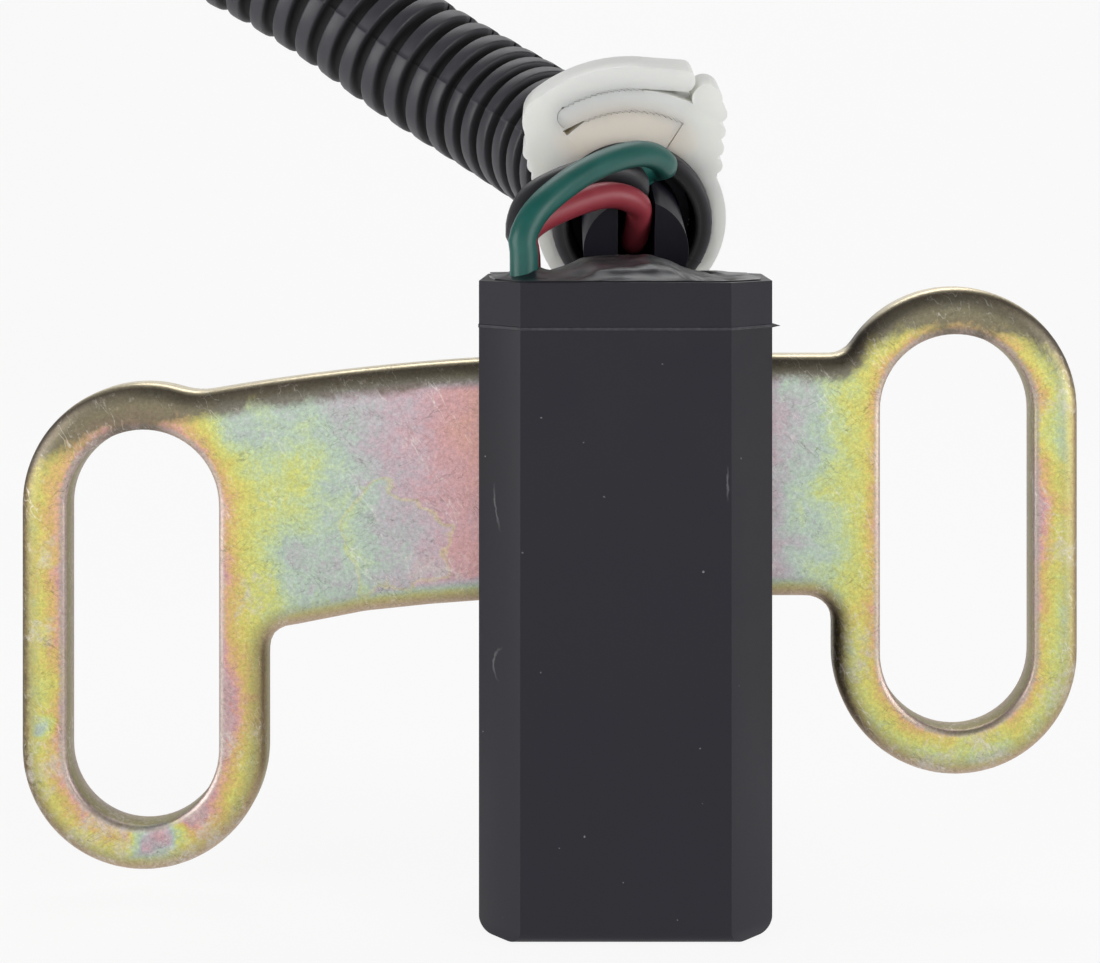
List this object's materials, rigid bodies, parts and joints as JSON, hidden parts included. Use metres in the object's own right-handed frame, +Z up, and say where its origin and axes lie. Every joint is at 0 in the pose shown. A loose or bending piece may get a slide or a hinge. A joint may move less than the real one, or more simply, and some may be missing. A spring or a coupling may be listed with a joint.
{
  "type": "crankshaft position sensor",
  "caption": "Potted crankshaft position sensor in a cut-corner housing on a slotted steel bracket, with a corrugated loom held by a snap clamp and ending in a sealed plug.",
  "frame": {"origin": "centre of the sensing tip, the flat lower face of the housing", "axes": "+X to the right along the bracket, +Y to the back, where the loom leaves, +Z up from the tip to the potting"},
  "size_m": [0.2041, 0.1901, 0.111],
  "materials": {
    "housing_plastic": "satin moulded glass-filled nylon",
    "yellow_zinc_steel": "stamped steel, zinc plated with an iridescent yellow passivate",
    "potting_epoxy": "poured and cured, glossy and uneven",
    "carrier_plastic": "moulded",
    "chip_epoxy": "transfer moulded",
    "tinned_copper": "tin plated",
    "soft_iron": "turned and plated",
    "magnet_alloy": "sintered and nickel plated",
    "board_laminate": "glass laminate with green solder mask",
    "capacitor_ceramic": "fired ceramic",
    "resistor_ceramic": "fired ceramic with a dark glaze",
    "solder": "solidified, bright",
    "green_pvc": "extruded insulation, soft sheen",
    "red_pvc": "extruded insulation, soft sheen",
    "black_pvc": "extruded insulation, soft sheen",
    "copper": "drawn strands",
    "loom_plastic": "corrugated polyethylene, satin",
    "natural_nylon": "moulded natural nylon, slightly translucent",
    "plug_plastic": "satin moulded",
    "cap_plastic": "satin moulded",
    "seal_silicone": "moulded silicone",
    "ring_silicone": "moulded silicone",
    "lock_plastic": "moulded",
    "tinned_brass": "stamped and tin plated"
  },
  "bodies": {
    "root": {"housing": "housing_plastic", "bracket": "yellow_zinc_steel", "potting": "potting_epoxy", "chip_carrier": "carrier_plastic", "hall_chip": "chip_epoxy", "chip_leads": "tinned_copper", "pole_piece": "soft_iron", "bias_magnet": "magnet_alloy", "circuit_board": "board_laminate", "bypass_capacitor": "capacitor_ceramic", "output_capacitor": "capacitor_ceramic", "pull_up_resistor": "resistor_ceramic", "solder_joints": "solder", "green_wire": "green_pvc", "red_wire": "red_pvc", "black_wire": "black_pvc", "green_core": "copper", "red_core": "copper", "black_core": "copper", "loom": "loom_plastic", "hose_clamp": "natural_nylon", "plug_shell": "plug_plastic", "plug_cap": "cap_plastic", "wire_seals": "seal_silicone", "plug_ring": "ring_silicone", "terminal_lock": "lock_plastic", "green_terminal": "tinned_brass", "red_terminal": "tinned_brass", "black_terminal": "tinned_brass"}
  },
  "joints": []
}
